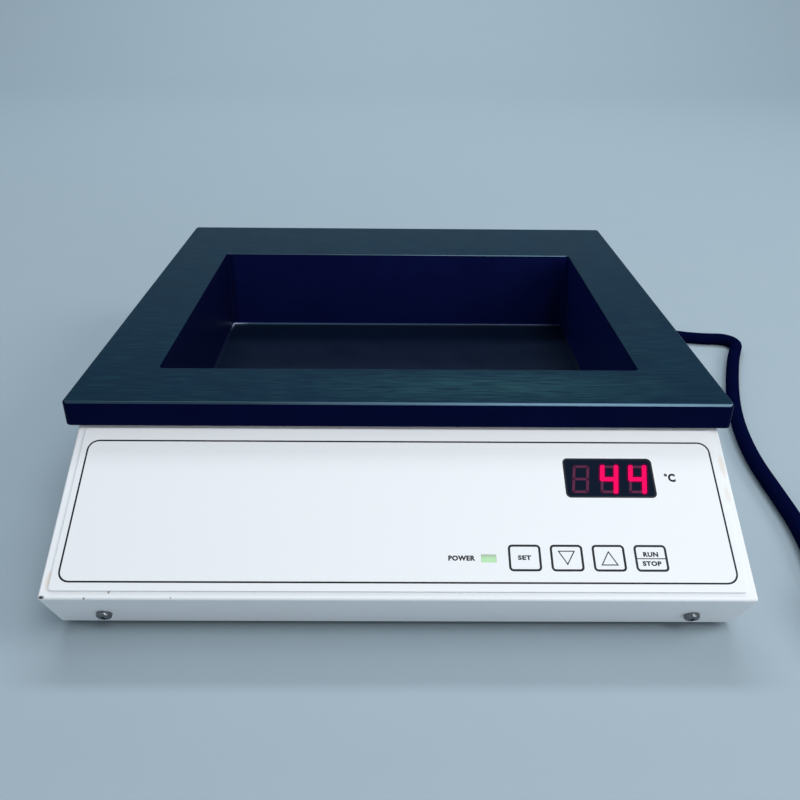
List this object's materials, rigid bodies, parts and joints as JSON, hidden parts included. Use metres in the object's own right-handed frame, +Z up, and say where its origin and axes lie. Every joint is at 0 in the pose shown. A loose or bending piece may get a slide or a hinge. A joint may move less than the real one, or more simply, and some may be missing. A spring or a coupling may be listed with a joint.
{
  "type": "histology water bath",
  "caption": "Bench water bath for floating tissue sections: black metal tray with a shallow rectangular well on a white wedge-shaped cover with a sloping keypad and display.",
  "frame": {"origin": "on the table under the middle of the bath's own box, the mains lead not counted", "axes": "+Z up; the keypad and display face -Y; +X is the user's right"},
  "size_m": [0.4567, 0.5382, 0.0825],
  "materials": {
    "black_anodised": "matt black hard-anodised cast aluminium",
    "silicone_grey": "grey silicone gasket",
    "zinc_steel": "bright zinc plate",
    "white_powder_coat": "fine satin powder coat",
    "zinc_sheet": "zinc-plated sheet",
    "black_rubber": "moulded rubber",
    "nickel_steel": "nickel plate",
    "white_film": "matt printed polyester film",
    "clear_film": "clear polyester circuit layers",
    "tinted_window": "dark tinted acrylic",
    "display_grey": "moulded display block",
    "green_light": "diffused green lens",
    "green_board": "glass-epoxy board with solder resist",
    "black_plastic": "moulded thermoplastic",
    "silicone_orange": "silicone-rubber heating mat",
    "mill_aluminium": "mill finish",
    "mineral_felt": "pressed mineral felt",
    "nylon": "natural nylon",
    "green_plastic": "moulded polyamide",
    "capacitor_sleeve": "shrink sleeve",
    "fuse_glass": "glass tube with nickel caps",
    "black_gloss": "polished thermoplastic",
    "green_lead": "insulated lead",
    "brown_lead": "insulated lead",
    "white_lead": "insulated lead",
    "grey_lead": "insulated lead",
    "cord_rubber": "satin rubber sheath",
    "black_strap": "woven hook-and-loop strap",
    "brass_nickel": "nickel-plated brass"
  },
  "bodies": {
    "housing": {"bath_tray": "black_anodised", "rim_gasket": "silicone_grey", "tray_studs": "zinc_steel", "tray_nuts": "zinc_steel", "cover_housing": "white_powder_coat", "base_plate": "zinc_sheet", "foot_front_left": "black_rubber", "foot_front_right": "black_rubber", "foot_rear_left": "black_rubber", "foot_rear_right": "black_rubber", "foot_screws": "zinc_steel", "foot_nuts": "zinc_steel", "front_screw_left": "nickel_steel", "front_screw_right": "nickel_steel", "rear_screws": "nickel_steel", "control_overlay": "white_film", "membrane_switch": "clear_film", "key_domes": "nickel_steel", "display_window": "tinted_window", "display_module": "display_grey", "power_led": "green_light", "control_board": "green_board", "tail_connector": "black_plastic", "board_standoffs": "zinc_steel", "board_screws": "zinc_steel", "heater_mat": "silicone_orange", "heater_clamp_plate": "mill_aluminium", "clamp_studs": "zinc_steel", "clamp_nuts": "zinc_steel", "insulation_pan": "mineral_felt", "thermal_cutout": "black_plastic", "temperature_sensor": "nickel_steel", "sensor_clip": "zinc_steel", "power_board": "green_board", "power_board_spacers": "nylon", "control_transformer": "black_plastic", "heat_sink": "mill_aluminium", "triac": "black_plastic", "terminal_block": "green_plastic", "filter_capacitors": "capacitor_sleeve", "mains_inlet": "black_plastic", "inlet_pins": "nickel_steel", "fuse_drawer": "black_plastic", "fuses": "fuse_glass", "earth_stud": "zinc_steel", "earth_lead": "green_lead", "mains_leads": "brown_lead", "heater_leads": "white_lead", "sensor_leads": "white_lead", "control_leads": "grey_lead", "mains_connector": "cord_rubber", "power_cord": "cord_rubber", "cord_coil": "cord_rubber", "cord_tie": "black_strap", "cord_tail": "cord_rubber", "mains_plug": "cord_rubber", "plug_blades": "brass_nickel"},
    "rocker": {"power_rocker": "black_gloss"}
  },
  "joints": [
    {"name": "rocker_tilt", "type": "hinge", "parent": "housing", "child": "rocker", "pos_m": [0.1, 0.165, 0.05], "axis": [0, 0, 1], "range_deg": [-18, 0]}
  ]
}
